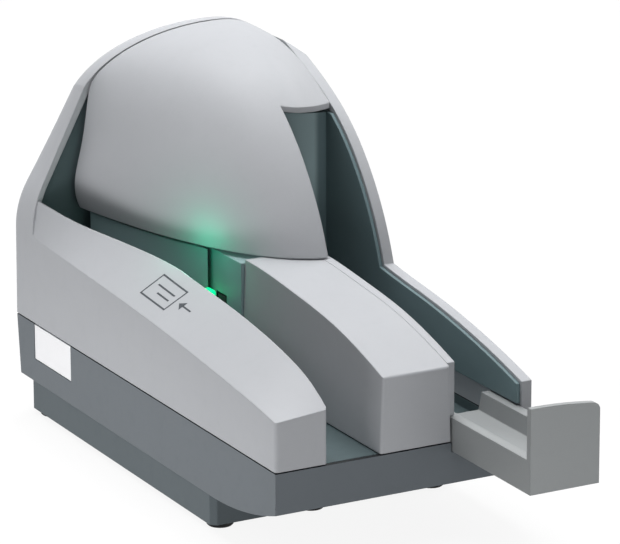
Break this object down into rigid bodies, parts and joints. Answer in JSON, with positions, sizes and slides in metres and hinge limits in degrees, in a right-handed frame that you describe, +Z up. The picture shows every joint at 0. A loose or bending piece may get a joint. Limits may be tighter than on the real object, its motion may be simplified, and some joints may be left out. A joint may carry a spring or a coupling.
{
  "type": "cheque scanner",
  "caption": "Desktop cheque scanner: feeder slot, U-shaped document track under a hinged domed cover, exit pocket and sliding exit tray.",
  "frame": {"origin": "under the middle of the object at floor level, with the exit tray pulled out", "axes": "+Z up, +Y from the front to the back, +X to the right as seen from the front"},
  "size_m": [0.126, 0.3268, 0.1825],
  "materials": {
    "case_light": "fine moulded grain",
    "case_band": "fine moulded grain",
    "plinth_dark": "fine moulded grain",
    "guide_dark": "smooth moulded",
    "tray_grey": "fine moulded grain",
    "rubber_black": "matte",
    "roller_rubber": "ground",
    "steel": "ground",
    "bush_brass": "sintered",
    "black_plastic": "moulded",
    "board_green": "solder mask",
    "sensor_glass": "polished",
    "light_green": "clear",
    "label_white": "bare"
  },
  "bodies": {
    "case": {"bulkhead": "guide_dark", "cartridge_cradle": "black_plastic", "case_screws": "steel", "document_sensors": "black_plastic", "drive_belt": "rubber_black", "drive_motor": "steel", "exit_guide": "case_light", "flag_pin": "steel", "front_image_sensor": "black_plastic", "front_sensor_glass": "sensor_glass", "hinge_pin": "steel", "ink_cartridge": "black_plastic", "inner_guide": "guide_dark", "island_cover": "case_light", "label_plate": "label_white", "lower_case": "case_band", "magnetic_head": "steel", "main_board": "board_green", "motor_bracket": "steel", "outer_guide": "guide_dark", "pinch_axles": "steel", "plinth": "plinth_dark", "pocket_column": "guide_dark", "power_inlet": "black_plastic", "rear_image_sensor": "black_plastic", "rear_sensor_glass": "sensor_glass", "rubber_feet": "rubber_black", "separator_holder": "black_plastic", "separator_pad": "roller_rubber", "shaft_bushes": "bush_brass", "status_light": "light_green", "track_deck": "guide_dark", "upper_case": "case_light", "usb_socket": "steel"},
    "tray": {"exit_tray": "tray_grey"},
    "cover": {"track_cover": "case_light"},
    "flag": {"feed_flag": "black_plastic"},
    "motor_rotor": {"motor_pulley": "steel"},
    "feed_drive": {"feed_roller": "roller_rubber", "feed_shaft": "steel", "feed_pulley": "black_plastic"},
    "drive_drive": {"drive_roller": "roller_rubber", "drive_shaft": "steel", "drive_pulley": "black_plastic"},
    "exit_drive": {"exit_roller": "roller_rubber", "exit_shaft": "steel", "exit_pulley": "black_plastic"},
    "drive_pinch": {"drive_pinch_roller": "roller_rubber"},
    "exit_pinch": {"exit_pinch_roller": "roller_rubber"}
  },
  "joints": [
    {"name": "tray_slide", "type": "slide", "parent": "case", "child": "tray", "axis": [0, 1, 0], "range_m": [0, 0.06]},
    {"name": "cover_hinge", "type": "hinge", "parent": "case", "child": "cover", "pos_m": [0.027, 0.1544, 0.1724], "axis": [-1, 0, 0], "range_deg": [0, 70]},
    {"name": "flag_swing", "type": "hinge", "parent": "case", "child": "flag", "pos_m": [-0.0352, -0.0266, 0.0605], "axis": [0, 0, -1], "range_deg": [0, 17]},
    {"name": "feed_spin", "type": "hinge", "parent": "case", "child": "feed_drive", "pos_m": [-0.004, 0.04941, 0.0675], "axis": [0, 0, 1], "continuous": true},
    {"name": "drive_spin", "type": "hinge", "parent": "case", "child": "drive_drive", "pos_m": [-0.004, 0.08342, 0.0675], "axis": [0, 0, 1], "continuous": true},
    {"name": "exit_spin", "type": "hinge", "parent": "case", "child": "exit_drive", "pos_m": [0.0188, 0.09139, 0.0675], "axis": [0, 0, 1], "continuous": true},
    {"name": "motor_spin", "type": "hinge", "parent": "case", "child": "motor_rotor", "pos_m": [0.023, 0.0414, 0.0375], "axis": [0, 0, 1], "continuous": true},
    {"name": "drive_pinch_spin", "type": "hinge", "parent": "case", "child": "drive_pinch", "pos_m": [-0.0193, 0.08342, 0.0675], "axis": [0, 0, 1], "continuous": true},
    {"name": "exit_pinch_spin", "type": "hinge", "parent": "case", "child": "exit_pinch", "pos_m": [0.0341, 0.09139, 0.0675], "axis": [0, 0, 1], "continuous": true}
  ],
  "couplings": [
    {"joint": "drive_spin", "follows": "feed_spin", "ratio": 1},
    {"joint": "exit_spin", "follows": "feed_spin", "ratio": 1},
    {"joint": "motor_spin", "follows": "feed_spin", "ratio": 1.6},
    {"joint": "drive_pinch_spin", "follows": "feed_spin", "ratio": -1.5},
    {"joint": "exit_pinch_spin", "follows": "feed_spin", "ratio": -1.5}
  ]
}
